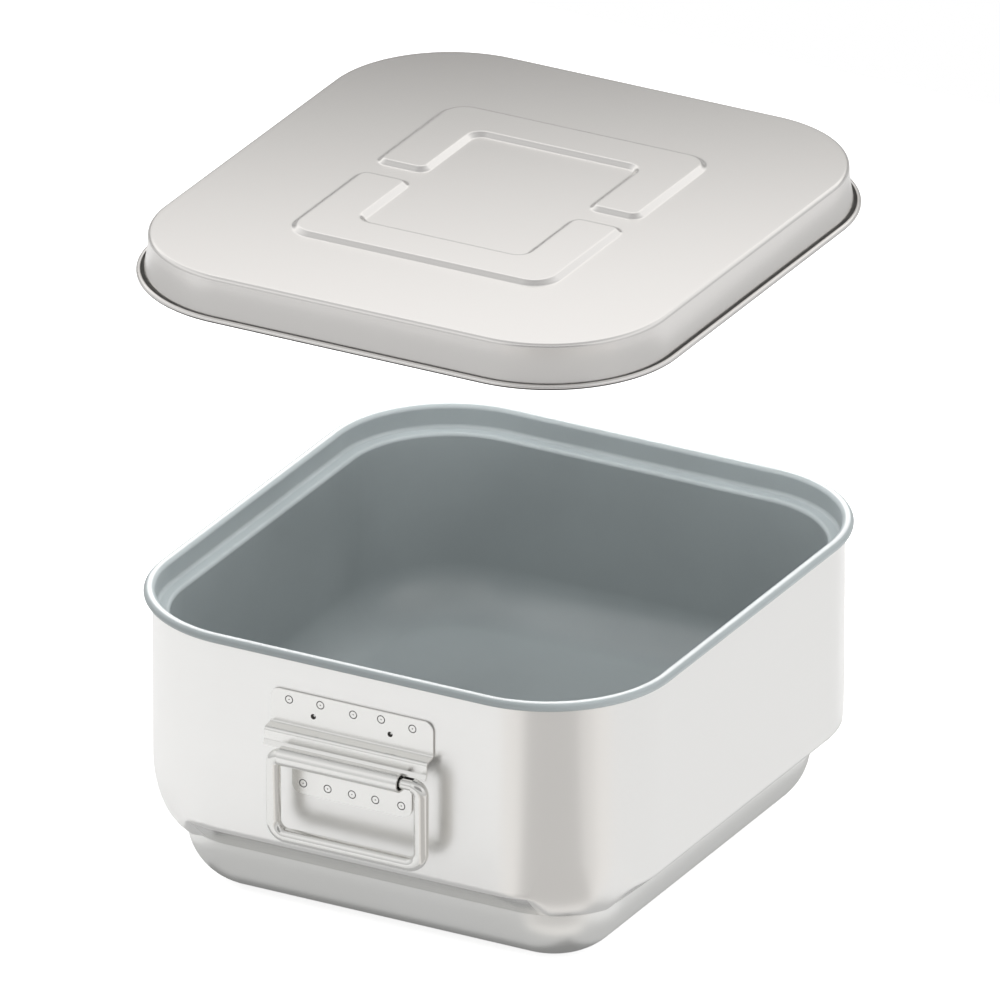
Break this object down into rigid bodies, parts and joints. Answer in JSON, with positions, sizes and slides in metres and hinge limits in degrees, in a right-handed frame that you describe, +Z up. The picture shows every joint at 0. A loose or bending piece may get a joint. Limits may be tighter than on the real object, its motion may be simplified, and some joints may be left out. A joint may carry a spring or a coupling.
{
  "type": "stainless steel storage box",
  "caption": "Rectangular double-walled stainless steel storage box with a grey-coated inner pot, a drop handle at each end and a lift-off pressed lid.",
  "frame": {"origin": "centre of the flat base, where the box stands", "axes": "+Z up, X across the short side, handles on the -Y and +Y sides"},
  "size_m": [0.353, 0.4076, 0.4234],
  "materials": {
    "stainless_satin": "satin",
    "stainless_polished": "polished",
    "pot_coating": "satin",
    "insulating_foam": "matte"
  },
  "bodies": {
    "box": {"outer_wall": "stainless_satin", "base_pan": "stainless_satin", "inner_pot": "pot_coating", "insulation": "insulating_foam", "handle_bracket_front": "stainless_polished", "handle_bracket_rear": "stainless_polished"},
    "lid": {"lid": "stainless_satin"},
    "handle_front": {"handle_front": "stainless_polished"},
    "handle_rear": {"handle_rear": "stainless_polished"}
  },
  "joints": [
    {"name": "lid_lift", "type": "slide", "parent": "box", "child": "lid", "axis": [0, 0, 1], "range_m": [-0.207, 0.06]},
    {"name": "handle_front_swing", "type": "hinge", "parent": "box", "child": "handle_front", "pos_m": [0, -0.1978, 0.126], "axis": [-1, 0, 0], "range_deg": [-12, 90]},
    {"name": "handle_rear_swing", "type": "hinge", "parent": "box", "child": "handle_rear", "pos_m": [0, 0.1978, 0.126], "axis": [1, 0, 0], "range_deg": [-12, 90]}
  ]
}
